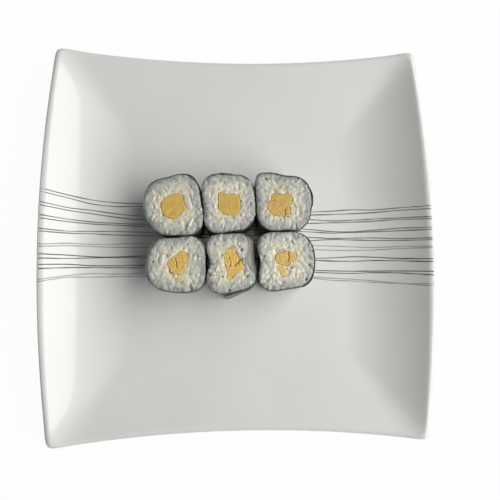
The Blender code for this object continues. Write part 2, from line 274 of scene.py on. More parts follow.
# Printed lines: tone, then how far each lies from the plate's middle line at the stations.
# The glaze rolls over the rim across this width and drops this far at the edge.
RIM_STEPS = 56
ROLL_OVER = 3.8
ROLL_DROP = 1.75
LINE_STATIONS = (-103, -92, -80, -68, -56, -46, 42, 52, 64, 76, 88, 102)
LINES = (
    ("mid", (27.5, 25.3, 23.3, 22.3, 22.0, 21.6, 17.0, 17.4, 18.1, 17.7, 18.1, 18.1)),
    ("mid", (25.8, 23.7, 21.1, 20.2, 20.4, 20.1, 15.3, 15.5, 15.9, 16.2, 16.7, 16.5)),
    ("mid", (20.4, 18.4, 17.6, 16.1, 15.1, 14.8, 12.5, 11.9, 12.1, 12.5, 12.5, 12.2)),
    ("mid", (18.7, 17.0, 15.7, 14.2, 13.0, 12.7, 10.5, 10.8, 11.0, 11.3, 11.6, 11.0)),
    ("mid", (13.5, 12.2, 11.2, 10.8, 10.4, 10.1, 6.8, 5.8, 5.6, 6.2, 6.7, 6.3)),
    ("mid", (11.8, 10.8, 10.1, 9.8, 9.3, 8.9, 5.5, 4.9, 5.2, 5.3, 5.3, 5.1)),
    ("mid", (6.3, 5.7, 6.0, 6.2, 5.9, 5.4, 2.4, 1.9, 2.0, 1.8, 0.9, 0.5)),
    ("mid", (5.0, 4.6, 4.7, 4.3, 4.1, 3.8, 0.8, 1.2, 0.9, 0.4, -0.1, -0.5)),
    ("faint", (-1.7, -0.9, -1.1, -0.8, -0.3, -0.3, -2.1, -2.4, -3.0, -3.6, -3.5, -4.0)),
    ("faint", (-3.0, -2.2, -2.3, -2.5, -2.6, -2.8, -4.4, -4.8, -5.0, -5.0, -4.6, -4.8)),
    ("dark", (-6.9, -7.2, -7.8, -7.9, -7.4, -7.4, -9.4, -9.1, -8.6, -9.1, -10.1, -10.8)),
    ("dark", (-9.1, -9.0, -8.5, -8.1, -8.0, -8.1, -10.4, -10.9, -11.1, -10.9, -11.4, -12.3)),
    ("dark", (-12.4, -12.1, -12.7, -12.7, -12.6, -12.8, -16.1, -16.4, -16.7, -16.8, -17.0, -17.6)),
    ("dark", (-14.5, -13.9, -13.7, -13.8, -13.9, -14.2, -17.1, -17.6, -17.9, -17.7, -18.1, -19.4)),
    ("faint", (-20.0, -18.2, -17.0, -17.3, -17.1, -17.2, -19.7, -20.5, -21.2, -22.3, -23.7, -24.2)),
    ("faint", (-21.1, -19.1, -18.9, -18.7, -18.6, -18.8, -20.5, -21.7, -22.2, -23.2, -23.9, -25.2)),
)
LINE_REACH = 104.5
LINE_WIDTH = 0.55
LINE_PROUD = 0.03
LINE_SUNK = 0.06
LINE_TONES = {"dark": (0.09, 0.09, 0.088), "mid": (0.17, 0.17, 0.165), "faint": (0.42, 0.42, 0.41)}


# ---------------------------------------------------------------- mesh helpers

def make_piece(name, points, faces, material, nodes, shades=None):
    """A piece from points in millimetres, riding on the body and standing for the CAD nodes."""
    mesh = bpy.data.meshes.new(name)
    mesh.from_pydata((np.asarray(points) * MM).tolist(), [], [tuple(face) for face in faces])
    mesh.validate()
    if shades is not None:
        layer = mesh.color_attributes.new("shade", "FLOAT_COLOR", "POINT")
        colours = np.ones((len(mesh.vertices), 4), np.float32)
        colours[:, :3] = shades
        layer.data.foreach_set("color", colours.ravel())
    mesh.shade_smooth()
    mesh.materials.append(material)
    piece = bpy.data.objects.new(name, mesh)
    bpy.context.scene.collection.objects.link(piece)
    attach(piece, BODY)
    if nodes:
        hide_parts(*nodes)
    return piece


def tube_faces(rings, count):
    """Quads between rings of equal length laid one after another."""
    i = np.arange(count)
    j = (i + 1) % count
    quads = []
    for ring in range(rings - 1):
        a = ring * count
        quads.append(np.stack([a + i, a + j, a + count + j, a + count + i], axis=1))
    return np.concatenate(quads).tolist()


def fan(ring_start, count, centre, upward):
    """Triangles from a ring to one point."""
    faces = []
    for i in range(count):
        j = (i + 1) % count
        pair = (ring_start + i, ring_start + j) if upward else (ring_start + j, ring_start + i)
        faces.append((*pair, centre))
    return faces


def ripple(x, y, seed, size):
    """Smooth unevenness from minus one to one, made of a few waves in random directions."""
    rng = np.random.default_rng(seed)
    total = np.zeros_like(np.asarray(x, float))
    for _ in range(7):
        turn, phase = rng.uniform(0, 2 * math.pi, 2)
        pitch = 2 * math.pi / (size * rng.uniform(0.6, 1.7))
        total += np.sin((np.cos(turn) * x + np.sin(turn) * y) * pitch + phase)
    return total / 3.5


def ease(part):
    """Smooth step from nothing to one."""
    part = np.clip(part, 0.0, 1.0)
    return part * part * (3.0 - 2.0 * part)


def skinned(points, faces):
    """One continuous, slightly relaxed skin round shells that overlap."""
    mesh = bpy.data.meshes.new("shells")
    mesh.from_pydata(points.tolist(), [], faces)
    holder = bpy.data.objects.new("shells", mesh)
    bpy.context.scene.collection.objects.link(holder)
    merge = holder.modifiers.new("skin", "REMESH")
    merge.mode = "VOXEL"
    merge.voxel_size = SKIN
    relax = holder.modifiers.new("relax", "SMOOTH")
    relax.factor = 0.5
    relax.iterations = SKIN_RELAX
    result = holder.evaluated_get(bpy.context.evaluated_depsgraph_get()).to_mesh()
    spots = np.empty(len(result.vertices) * 3, np.float32)
    result.vertices.foreach_get("co", spots)
    quads = [tuple(face.vertices) for face in result.polygons]
    bpy.data.objects.remove(holder)
    bpy.data.meshes.remove(mesh)
    return spots.reshape(-1, 3).astype(float), quads


# ---------------------------------------------------------------- plate

def bow(middle, corner, along):
    return middle + (corner - middle) * np.minimum(along, 1.0) ** 2


def rim_loop(steps):
    """Rim points anticlockwise, closer together towards the corners."""
    across = np.sin((np.arange(2 * steps) / steps - 1.0) * math.pi / 2)
    turns = np.repeat(np.arange(4) * math.pi / 2, 2 * steps)
    across = np.tile(across, 4)
    dx = np.cos(turns) - across * np.sin(turns)
    dy = np.sin(turns) + across * np.cos(turns)
    reach = np.full_like(dx, PLATE["end_middle"])
    for _ in range(20):
        side = bow(PLATE["side_middle"], PLATE["side_corner"], np.abs(dy * reach) / PLATE["end_corner"])
        end = bow(PLATE["end_middle"], PLATE["end_corner"], np.abs(dx * reach) / PLATE["side_corner"])
        power = np.abs(dx / side) ** PLATE["sharpness"] + np.abs(dy / end) ** PLATE["sharpness"]
        reach = 0.5 * (reach + power ** (-1.0 / PLATE["sharpness"]))
    return np.stack([dx * reach, dy * reach], axis=1)


def lift(distance, rise, reach):
    return rise * (np.maximum(distance - PLATE["flat_reach"], 0.0) / (reach - PLATE["flat_reach"])) ** 2


def plate_top(x, y):
    """Height of the glazed surface."""
    across = lift(np.abs(x), PLATE["side_rise"], PLATE["side_middle"])
    along = lift(np.abs(y), PLATE["end_rise"], PLATE["end_middle"])
    crease = PLATE["crease"]
    return PLATE["flat_top"] + (across ** crease + along ** crease) ** (1.0 / crease)


def plate_ring(rim, scale, inset, drop):
    size = scale * (1.0 - inset / np.hypot(rim[:, 0], rim[:, 1]))
    ring = rim * size[:, None]
    return np.column_stack([ring, plate_top(ring[:, 0], ring[:, 1]) - drop])


def flat_ring(rim, scale, height):
    return np.column_stack([rim * scale, np.full(len(rim), height)])


def build_plate(material):
    """The glazed dish, ring by ring: the dished top, the rolled rim, the underside and the foot."""
    rim = rim_loop(RIM_STEPS)
    roll = PLATE["rim_roll"]
    rings = [plate_ring(rim, scale, 0.0, 0.0) for scale in (0.08, 0.3, 0.5)]
    rings += [plate_ring(rim, scale, 0.0, 0.0) for scale in np.linspace(0.54, 0.96, 40)]
    for part in np.linspace(0.0, 1.0, 12):
        rings.append(plate_ring(rim, 1.0, ROLL_OVER * (1.0 - part), ROLL_DROP * part ** 2))
    for turn in np.linspace(0, -90, 7)[1:]:
        lean = math.radians(turn)
        drop = ROLL_DROP - (PLATE["rim_wall"] - ROLL_DROP) * math.sin(lean)
        rings.append(plate_ring(rim, 1.0, roll * (1 - math.cos(lean)), drop))
    for part in np.linspace(0.0, 1.0, 24)[1:]:
        drop = PLATE["rim_wall"] + (PLATE["wall"] - PLATE["rim_wall"]) * min(part * 4, 1.0)
        rings.append(plate_ring(rim, 0.985 + (0.68 - 0.985) * part, 0.0, drop))
    foot = PLATE["foot_outside"]
    inside = PLATE["foot_inside"]
    rings += [flat_ring(rim, foot + 0.012, 1.0), flat_ring(rim, foot + 0.004, 0.3)]
    rings += [flat_ring(rim, foot, 0.0), flat_ring(rim, inside, 0.0)]
    rings += [flat_ring(rim, inside - 0.004, 0.4), flat_ring(rim, inside - 0.015, PLATE["recess"])]
    count = len(rim)
    points = np.concatenate(rings + [[(0.0, 0.0, PLATE["flat_top"]), (0.0, 0.0, PLATE["recess"])]])
    total = len(rings) * count
    faces = [face[::-1] for face in tube_faces(len(rings), count)]
    faces += fan(0, count, total, True)
    faces += fan(total - count, count, total + 1, False)
    return make_piece("plate_glazed", points, faces, material, ["plate"])


def roll_off(x, y):
    """How far the glaze has dropped where the surface rolls over the side rims."""
    edge = bow(PLATE["side_middle"], PLATE["side_corner"], np.abs(y) / PLATE["end_corner"])
    return ROLL_DROP * np.clip(1.0 - (edge - np.abs(x)) / ROLL_OVER, 0.0, 1.0) ** 2


def build_lines(materials):
    """Thin ribbons of print that lie just proud of the glaze, one piece for each tone."""
    xs = np.linspace(-LINE_REACH, LINE_REACH, 260)
    for tone, material in materials.items():
        points = []
        faces = []
        for index, (own_tone, offsets) in enumerate(LINES):
            if own_tone != tone:
                continue
            ys = smooth_through(LINE_STATIONS, offsets, xs)
            slope = np.gradient(ys, xs)
            length = np.hypot(1.0, slope)
            width = LINE_WIDTH * (1.0 + 0.25 * ripple(xs, 0 * xs, SEED + index, 14.0)) / 2
            start = len(points)
            for side, height in ((-1, LINE_PROUD), (1, LINE_PROUD), (1, -LINE_SUNK), (-1, -LINE_SUNK)):
                px = xs - side * width * slope / length
                py = ys + side * width / length
                points.extend(np.column_stack([px, py, plate_top(px, py) - roll_off(px, py) + height]))
            n = len(xs)
            for i in range(n - 1):
                for a in range(4):
                    b = (a + 1) % 4
                    faces.append((start + a * n + i, start + a * n + i + 1, start + b * n + i + 1,
                                  start + b * n + i))
            faces.append(tuple(start + a * n for a in (0, 1, 2, 3)))
            faces.append(tuple(start + a * n + n - 1 for a in (3, 2, 1, 0)))
        make_piece(f"plate_print_{tone}", points, faces, material, [])


def smooth_through(xs, ys, where):
    """A smooth curve through the given values."""
    xs = np.asarray(xs, float)
    ys = np.asarray(ys, float)
    slopes = np.gradient(ys, xs)
    k = np.clip(np.searchsorted(xs, where) - 1, 0, len(xs) - 2)
    width = xs[k + 1] - xs[k]
    t = (where - xs[k]) / width
    h00 = 2 * t ** 3 - 3 * t ** 2 + 1
    h10 = t ** 3 - 2 * t ** 2 + t
    h01 = -2 * t ** 3 + 3 * t ** 2
    h11 = t ** 3 - t ** 2
    return h00 * ys[k] + h10 * width * slopes[k] + h01 * ys[k + 1] + h11 * width * slopes[k + 1]


# ---------------------------------------------------------------- rolls

def apart(turn, direction):
    """Angle in degrees between a turn in radians and a direction in degrees."""
    return np.degrees(np.abs(np.angle(np.exp(1j * (turn - math.radians(direction))))))


def radius_at(roll, turn):
    """Outside radius of a roll in a direction in radians."""
    total = np.full_like(np.asarray(turn, float), roll["radius"])
    for count, height, crest in roll["waves"]:
        total = total + height * np.cos(count * (turn - math.radians(crest)))
    if "corner" in roll:
        direction, height, width = roll["corner"]
        total = total + height * np.exp(-(apart(turn, direction) / width) ** 2)
    return total


def bare_at(roll, turn):
    """Where the nori has slipped down, from nothing to one."""
    if "bare" not in roll:
        return np.zeros_like(np.asarray(turn, float))
    direction, width = roll["bare"][:2]
    return ease((1.0 - apart(turn, direction) / width) * 1.6)


def crowding(index):
    """How hard a roll presses on its neighbours, as a function of direction."""
    roll = ROLLS[index]
    turns = np.radians(np.arange(0, 360, 3))
    reach = radius_at(roll, turns)
    gap = np.full(len(turns), PRESS_FAR)
    for other_index, other in enumerate(ROLLS):
        if other_index == index:
            continue
        dx = roll["middle"][0] + reach * np.cos(turns) - other["middle"][0]
        dy = roll["middle"][1] + reach * np.sin(turns) - other["middle"][1]
        gap = np.minimum(gap, np.hypot(dx, dy) - radius_at(other, np.arctan2(dy, dx)))
    press = ease((PRESS_FAR - gap) / (PRESS_FAR - PRESS_NEAR))
    return lambda turn: np.interp(turn, turns, press, period=2 * math.pi)


def foot_shift(roll, part):
    """Shift of a section, from none at the top (part 1) to the whole at the foot (part 0)."""
    return roll["foot"][0] * (1.0 - part), roll["foot"][1] * (1.0 - part)


def build_nori(index, roll, press, low, high, material):
    """One sheet wrapped round the rice, its loose outer end lapped over the inner end."""
    arc = 360.0 + roll["lap"]
    count = round(NORI_STEPS * arc / 360.0)
    gone = arc * np.arange(count + 1) / count
    turn = np.radians(roll["seam"] - gone)
    rise = LAP_RISE * np.clip((gone - 360.0 + RISE_ARC) / RISE_ARC, 0.0, 1.0)
    loose = np.maximum((gone - 360.0) / roll["lap"], 0.0) ** 2
    along = turn * roll["radius"]
    drop = EDGE_DROP * press(turn) * (0.8 + 0.3 * ripple(along, 0 * along, SEED + 30 + index, 3.0))
    if "bare" in roll:
        drop = drop + roll["bare"][2] * bare_at(roll, turn)
    shell = []
    top_lit_shades = []
    for depth in (0.0, NORI_WALL):
        for row in range(NORI_ROWS):
            part = row / (NORI_ROWS - 1)
            ragged = NORI_RAGGED * ripple(along, 0 * along, SEED + 40 + index, 4.0) * part
            height = low + (high + NORI_PROUD - drop - low) * part + ragged
            wrinkle = NORI_WRINKLE * ripple(along, height, SEED + 60 + index, 4.0)
            wrinkle = wrinkle + NORI_CRINKLE * ripple(along, height, SEED + 80 + index, 1.3)
            hang = loose * roll["hang"] * (1.0 - (1.0 - HANG_AT_TOP) * part)
            reach = radius_at(roll, turn) + rise + hang + wrinkle * (1.0 - 0.7 * part) - depth
            dx, dy = foot_shift(roll, part)
            x = roll["middle"][0] + dx + reach * np.cos(turn)
            y = roll["middle"][1] + dy + reach * np.sin(turn)
            shell.append(np.column_stack([x, y, height]))
            # Painted light: the sheet is painted lighter towards its top edge, where light falls on it.
            top_light = NORI_TOP_LIGHT * ease((part - NORI_TOP_LIGHT_FROM) / 0.12)
            top_lit_shades.append(np.full((count + 1, 3), 1.0 + top_light))
    n = count + 1
    inner = NORI_ROWS * n
    last = (NORI_ROWS - 1) * n
    faces = []
    for i in range(count):
        for a in range(0, last, n):
            faces.append((a + i, a + n + i, a + n + i + 1, a + i + 1))
            faces.append((inner + a + i, inner + a + i + 1, inner + a + n + i + 1, inner + a + n + i))
        faces.append((last + i, inner + last + i, inner + last + i + 1, last + i + 1))
        faces.append((i, i + 1, inner + i + 1, inner + i))
    for a in range(0, last, n):
        faces.append((a, inner + a, inner + a + n, a + n))
        faces.append((a + count, a + n + count, inner + a + n + count, inner + a + count))
    name = f"roll_{index + 1}"
    return make_piece(f"{name}_nori_sheet", np.concatenate(shell), faces, material, [f"{name}_nori"],
                      shades=np.concatenate(top_lit_shades))


def corner_loop(corners, rounding, count):
    """A closed outline through cut corners, evenly spaced."""
    points = np.array(corners, float)
    before = np.roll(points, 1, axis=0)
    after = np.roll(points, -1, axis=0)
    path = []
    for here, last, coming in zip(points, before, after):
        reach = min(rounding, 0.4 * np.linalg.norm(last - here), 0.4 * np.linalg.norm(coming - here))
        start = here + (last - here) / np.linalg.norm(last - here) * reach
        end = here + (coming - here) / np.linalg.norm(coming - here) * reach
        for t in np.linspace(0, 1, 6):
            path.append((1 - t) ** 2 * start + 2 * t * (1 - t) * here + t ** 2 * end)
    path = np.array(path + [path[0]])
    gone = np.concatenate([[0], np.cumsum(np.linalg.norm(np.diff(path, axis=0), axis=1))])
    where = np.linspace(0, gone[-1], count, endpoint=False)
    return np.column_stack([np.interp(where, gone, path[:, axis]) for axis in (0, 1)])


def centre_of(corners):
    return np.mean(np.array(corners, float), axis=0)


def reach_of(corners, rounding=0.8):
    """The outline's distance from its centre as a function of direction."""
    centre = centre_of(corners)
    loop = corner_loop(corners, rounding, 360) - centre
    turn = np.arctan2(loop[:, 1], loop[:, 0])
    order = np.argsort(turn)
    turns = turn[order]
    reaches = np.hypot(loop[order, 0], loop[order, 1])
    return lambda where: np.interp(where, turns, reaches, period=2 * math.pi)


def crack_at(name, x, y):
    """How deep in a crack a point of the cut face lies, from nothing to one."""
    depth = np.zeros_like(x)
    for start, end, width in EGG_CRACKS.get(name, ()):
        start, end = np.array(start), np.array(end)
        way = end - start
        part = np.clip(((x - start[0]) * way[0] + (y - start[1]) * way[1]) / (way @ way), 0.0, 1.0)
        bent = 0.25 * np.sin(part * 9.0)
        side = np.hypot(x - start[0] - part * way[0] + bent, y - start[1] - part * way[1])
        depth = np.maximum(depth, ease(1.3 - side / width))
    return depth


def build_egg(name, roll, corners, low, high, material):
    """A stick of cooked egg, its cut face smooth or broken into curds."""
    count = EGG_STEPS
    tone, curd, faded = EGG_LOOKS[name]
    if name.endswith("bit"):
        high += BIT_RISE
    loop = corner_loop(corners, EGG_ROUNDING, count)
    centre = centre_of(corners)
    seed = SEED + sum(map(ord, name))
    ragged = 0.035 * ripple(*loop.T, seed + 7, 1.6) + 0.02 * ripple(*loop.T, seed + 8, 0.8)
    rings = []
    for part in np.linspace(0.0, 1.0, 12):
        dx, dy = foot_shift(roll, part)
        out = (loop - centre) * (1.0 + ragged[:, None]) + centre + (dx, dy)
        rings.append(np.column_stack([out, np.full(count, low + (high - EGG_RIM - low) * part)]))
    for scale, drop in ((0.99, 0.12), (0.965, 0.03)):
        rings.append(np.column_stack([(loop - centre) * scale * (1.0 + ragged[:, None]) + centre,
                                      np.full(count, high - drop)]))
    for scale in np.linspace(0.94, 0.03, 34):
        out = (loop - centre) * scale * (1.0 + ragged[:, None] * scale) + centre
        x, y = out[:, 0], out[:, 1]
        creases = np.minimum(np.abs(ripple(x, y, seed + 3, 3.0)) * 2.4, 1.0)
        relief = 0.05 * ripple(x, y, seed + 1, 4.0) + 0.02 * ripple(x, y, seed + 2, 1.4)
        relief = relief + curd * CURD_HEIGHT * (creases - 0.75)
        relief = relief + curd * 0.05 * ripple(x, y, seed + 4, 1.0)
        relief = relief - CRACK_DEPTH * crack_at(name, x, y)
        rings.append(np.column_stack([out, high + relief * min((0.97 - scale) * 10, 1.0)]))
    ends = [(*centre, rings[-1][:, 2].mean()), (*(centre + foot_shift(roll, 0.0)), low)]
    points = np.concatenate(rings + [ends])
    x, y = points[:, 0], points[:, 1]
    creases = np.minimum(np.abs(ripple(x, y, seed + 3, 3.0)) * 2.4, 1.0)
    turn = np.arctan2(y - centre[1], x - centre[0])
    edge = reach_of(corners)(turn) - np.hypot(x - centre[0], y - centre[1])
    # Paler in random patches and curds, with a painted highlight along the cut edge.
    pale = 0.6 * ease(1.0 - edge / EDGE_HIGHLIGHT) + 0.5 * curd * ripple(x, y, seed + 5, 1.8)
    pale = pale + 0.3 * ripple(x, y, seed + 6, 3.5)
    # Warmer and darker in the curds' creases and in the cracks: partly warm tone, partly painted shade.
    warm_and_crease_shade = np.clip(curd * (1.0 - creases) + 0.8 * crack_at(name, x, y), 0, 1)
    body = np.array(EGG_COLOUR) * (1.0 - faded) + np.array(EGG_PALE_COLOUR) * faded
    shades = body * tone * (1.0 + np.outer(pale, EGG_PALE_AND_HIGHLIGHT)) * (1.0 - np.outer(warm_and_crease_shade, EGG_CREASE_TONE_AND_SHADE))
    faces = tube_faces(len(rings), count)
    top = len(points) - 2
    faces += fan(top - count, count, top, True)
    faces += fan(0, count, top + 1, False)
    points[:, :2] += roll["middle"]
    return make_piece(f"{name}_stick", points, faces, material, [name], shades=shades)


def unit_grain():
    """A grain one unit long, wide and thick, as rings round its long axis."""
    steps = np.cos(np.linspace(0, math.pi, GRAIN["along"] + 2))[1:-1]
    around = np.arange(GRAIN["around"]) * 2 * math.pi / GRAIN["around"]
    points = [(1.0, 0.0, 0.0)]
    for step in steps:
        radius = (1.0 - abs(step) ** 2.5) ** 0.55
        for turn in around:
            points.append((step, radius * math.cos(turn), radius * math.sin(turn)))
    points.append((-1.0, 0.0, 0.0))
    faces = []
    n = GRAIN["around"]
    for i in range(n):
        j = (i + 1) % n
        faces.append((0, 1 + i, 1 + j))
        for ring in range(len(steps) - 1):
            a = 1 + ring * n
            faces.append((a + i, a + n + i, a + n + j, a + j))
        last = 1 + (len(steps) - 1) * n
        faces.append((last + i, len(points) - 1, last + j))
    return np.array(points) * 0.5, faces


def grain_cloud(rng, places, sizes, yaws, pitches):
    """All the points of many grains, each bent and turned its own way."""
    base, faces = unit_grain()
    cloud = []
    every = []
    for k, (place, size, yaw, pitch) in enumerate(zip(places, sizes, yaws, pitches)):
        grain = base * size
        bend = rng.uniform(-0.5, 0.5)
        grain[:, 1] += bend * ((base[:, 0] * 2) ** 2 - 0.3)
        grain[:, 1:] *= 1.0 + 0.10 * np.sin(base[:, :1] * rng.uniform(4, 9) + rng.uniform(0, 6))
        grain[:, 1:] *= 1.0 + rng.uniform(-0.14, 0.14) * base[:, :1] * 2
        roll_turn = rng.uniform(0, math.pi)
        cr, sr = math.cos(roll_turn), math.sin(roll_turn)
        y = grain[:, 1] * cr - grain[:, 2] * sr
        z = grain[:, 1] * sr + grain[:, 2] * cr
        cp, sp = math.cos(pitch), math.sin(pitch)
        x, z = grain[:, 0] * cp - z * sp, grain[:, 0] * sp + z * cp
        cy, sy = math.cos(yaw), math.sin(yaw)
        cloud.append(np.column_stack([x * cy - y * sy, x * sy + y * cy, z]) + place)
        every.extend([tuple(v + k * len(base) for v in face) for face in faces])
    return np.concatenate(cloud), every, len(base)


def scatter_grains(rng, roll, hollows, count, spacing, taken=()):
    """Places for grains on the cut face, spread evenly between the nori and the egg."""
    places = list(taken)
    for tries in range(60000):
        if len(places) >= count + len(taken):
            break
        turn = rng.uniform(0, 2 * math.pi)
        reach = math.sqrt(rng.uniform(0, 1)) * (float(radius_at(roll, turn)) - GRAIN_MARGIN)
        spot = np.array([reach * math.cos(turn), reach * math.sin(turn)])
        if any(inside_by(spot, centre, reaches) > -EGG_MARGIN for centre, reaches in hollows):
            continue
        least = spacing if tries < 30000 else 0.7 * spacing
        if places and np.min(np.linalg.norm(np.array(places) - spot, axis=1)) < least:
            continue
        places.append(spot)
    return np.array(places[len(taken):])


def inside_by(spot, centre, reaches):
    """How far a point lies inside an outline, along its ray from the centre."""
    away = spot - centre
    return float(reaches(math.atan2(away[1], away[0]))) - math.hypot(*away)


def rice_reach(roll, press, turn, below):
    """How far the rice reaches, at a depth below the cut face."""
    inside = radius_at(roll, turn) - NORI_WALL - 0.04
    over = (NORI_WALL + 0.12) * press(turn) * ease((EDGE_DROP - below) / 0.5)
    bare = bare_at(roll, turn)
    stands, slopes = roll.get("bare", (0, 0, 0, 0, 0))[3:]
    low = stands * bare * ease((below - 1.5) / 3.5) * ease((13.0 - below) / 5.0)
    return inside + over + low - slopes * bare * (1.0 - ease(below / SHOULDER_DEPTH))


def cut_face(x, y, rim, top, index):
    """Height of the cut face, uneven and rounded off at its rim."""
    uneven = 0.14 * ripple(x, y, SEED + 5 + index, 7.0) + 0.05 * ripple(x, y, SEED + 15 + index, 2.5)
    return top + uneven - RIM_FALL * np.clip(1.0 - rim / RIM_ROUNDING, 0.0, 1.0) ** 2


def press_into(points, index, press, hollows, top, kept):
    """Keeps grains between the nori and the egg, and flattens what stands over the cut."""
    roll = ROLLS[index]
    flat = points[:, :2]
    reach = np.hypot(flat[:, 0], flat[:, 1])
    turn = np.arctan2(flat[:, 1], flat[:, 0])
    limit = rice_reach(roll, press, turn, top - points[:, 2])
    flat = flat * np.where(reach > limit, limit / np.maximum(reach, 1e-6), 1.0)[:, None]
    for centre, reaches in hollows:
        away = flat - centre
        distance = np.hypot(away[:, 0], away[:, 1])
        least = reaches(np.arctan2(away[:, 1], away[:, 0])) + 0.05
        grow = np.where(distance < least, least / np.maximum(distance, 1e-6), 1.0)
        flat = centre + away * grow[:, None]
    rim = rice_reach(roll, press, turn, 0.0) - np.hypot(flat[:, 0], flat[:, 1])
    over = points[:, 2] - cut_face(flat[:, 0], flat[:, 1], rim, top, index)
    return np.column_stack([flat, points[:, 2] - (1.0 - kept) * np.maximum(over, 0.0)])


def rice_tube(index, press, hollows, low, high, top, sunk):
    """A thick closed tube of rice round the egg, its upper face uneven."""
    roll = ROLLS[index]
    count = TUBE_STEPS
    turn = np.arange(count) * 2 * math.pi / count
    centre, reaches = hollows[0]
    direction = np.column_stack([np.cos(turn), np.sin(turn)])
    near = centre + direction * (reaches(turn) + 0.06)[:, None]

    def edge_at(below):
        reach = np.full(count, 1.0)
        far = np.full(count, 40.0)
        for _ in range(30):
            half = 0.5 * (reach + far)
            spot = centre + direction * half[:, None]
            limit = rice_reach(roll, press, np.arctan2(spot[:, 1], spot[:, 0]), below)
            out = np.hypot(*spot.T) > limit - 0.12
            far = np.where(out, half, far)
            reach = np.where(out, reach, half)
        return centre + direction * reach[:, None]

    whole = top - (PLATE["flat_top"] + STAND_OFF)
    levels = np.linspace(low, high, 8)
    rings = []
    for level in levels:
        shift = foot_shift(roll, 1.0 - (top - level) / whole)
        rings.append(np.column_stack([edge_at(top - level) + shift, np.full(count, level)]))
    edge = edge_at(top - high)
    for t in np.linspace(0.04, 0.96, 16):
        spot = edge + (near - edge) * t
        rim = np.hypot(*(spot - edge).T)
        face = cut_face(spot[:, 0], spot[:, 1], rim, high, index)
        face = face - sunk * 0.35 * ripple(*spot.T, SEED + 9, 2.6)
        beside = np.hypot(*(spot - near).T)
        rings.append(np.column_stack([spot, face + 0.2 * sunk * ease(1.0 - beside / 1.2)]))
    for level in levels[::-1]:
        shift = foot_shift(roll, 1.0 - (top - level) / whole)
        rings.append(np.column_stack([near + shift, np.full(count, level)]))
    points = np.concatenate(rings)
    faces = tube_faces(len(rings), count)
    last = len(points) - count
    for i in range(count):
        j = (i + 1) % count
        faces.append((last + i, last + j, j, i))
    return points, faces


def rice_colours(points, index, press, hollows, top, tints):
    """Colour of rice from where it lies, from its own grain and from spots and stains, with painted
    shade near the nori, below the cut face and on the bared shoulder.
    """
    roll = ROLLS[index]
    x, y, z = points.T
    turn = np.arctan2(y, x)
    rim = rice_reach(roll, press, turn, 0.0) - np.hypot(x, y)
    # Darker towards the nori: partly the nori showing through, partly painted shade at the rounded rim.
    stops = np.array(RIM_COLOURS_AND_SHADE)
    uneven = rim + 0.5 * ripple(x, y, SEED + 21 + index, 3.0) * np.clip(rim, 0.0, 1.0)
    body = np.column_stack([np.interp(uneven, RIM_STOPS, stops[:, k]) for k in range(3)])
    for centre, reaches in hollows:
        around = np.arctan2(y - centre[1], x - centre[0])
        away = np.hypot(x - centre[0], y - centre[1]) - reaches(around)
        body = body * (1.0 + np.outer(np.exp(-np.maximum(away, 0.0) / 1.6), (0.07, 0.03, -0.08)))
    body = body * tints * RICE_TONES[index]
    clouds = 1.0 - 0.10 * ease(ripple(x, y, SEED + 31 + index, 3.4) * 1.5 + 0.2)
    body = body * clouds[:, None]
    # Painted shade on the bared shoulder, darker further below the cut face.
    shoulder_shade = bare_at(roll, turn) * ease((top - z) / 1.5)
    body = body + (np.array(SHOULDER_SHADE_COLOUR) - body) * shoulder_shade[:, None]
    # Painted shade: rice lying below the cut face, as in the creases between grains, is darker.
    below_cut_shade = ease((top - z - 0.2) / 1.1) * (1.0 - shoulder_shade)
    body = body * (1.0 - np.outer(below_cut_shade, (0.16, 0.16, 0.18)))
    for across, along, radius, kind in SPOTS[index]:
        amount = ease(1.35 - np.hypot(x - across, y - along) / radius)
        body = body * (1.0 + np.outer(amount, np.array(SPOT_TINTS[kind]) - 1.0))
    return body


def sink_spots(points, index, top):
    """Pits where the spots are."""
    for across, along, radius, kind in SPOTS[index]:
        amount = ease(1.35 - np.hypot(points[:, 0] - across, points[:, 1] - along) / radius)
        points[:, 2] -= SPOT_PITS[kind] * amount * (points[:, 2] > top - 1.6)


def grain_sizes(rng, count):
    """Length, width and thickness of each grain."""
    return np.column_stack([GRAIN[side] * rng.normal(1.0, spread, count)
                            for side, spread in GRAIN_SPREAD])


